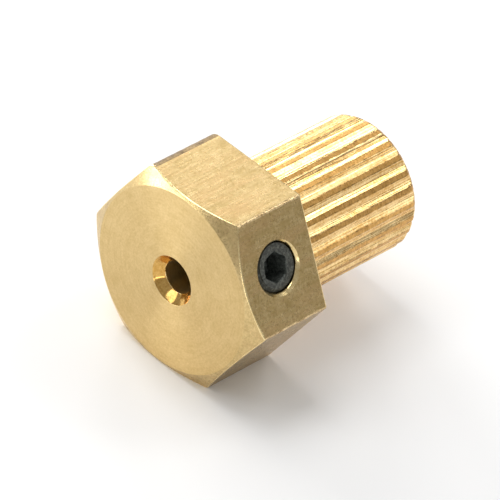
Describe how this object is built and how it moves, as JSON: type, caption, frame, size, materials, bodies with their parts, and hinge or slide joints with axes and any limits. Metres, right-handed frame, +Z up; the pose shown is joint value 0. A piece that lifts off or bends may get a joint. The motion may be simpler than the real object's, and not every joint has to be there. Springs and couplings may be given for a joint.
{
  "type": "extruder gear assembly",
  "caption": "Brass drive gear: hexagonal hub with a shaft bore, straight-toothed barrel behind it, and a socket grub screw through one flat that clamps the shaft.",
  "frame": {"origin": "on the bore's axis, halfway along the gear's length (centre of its bounding box)", "axes": "+Y along the bore from the hub's front face to the barrel's end; +Z up, square to the hub's top flat; +X to the right seen from the front; the clamping flat faces 30 degrees above +X"},
  "size_m": [0.0138, 0.016, 0.012],
  "materials": {
    "brass": "turned and drawn brass, satin, bright edges",
    "black_steel": "black oxide, satin"
  },
  "bodies": {
    "gear": {"gear_body": "brass"},
    "screw": {"grub_screw": "black_steel"}
  },
  "joints": [
    {"name": "screw_travel", "type": "slide", "parent": "gear", "child": "screw", "axis": [0.866, 0, 0.5], "range_m": [-0.0007, 0.0038]}
  ]
}
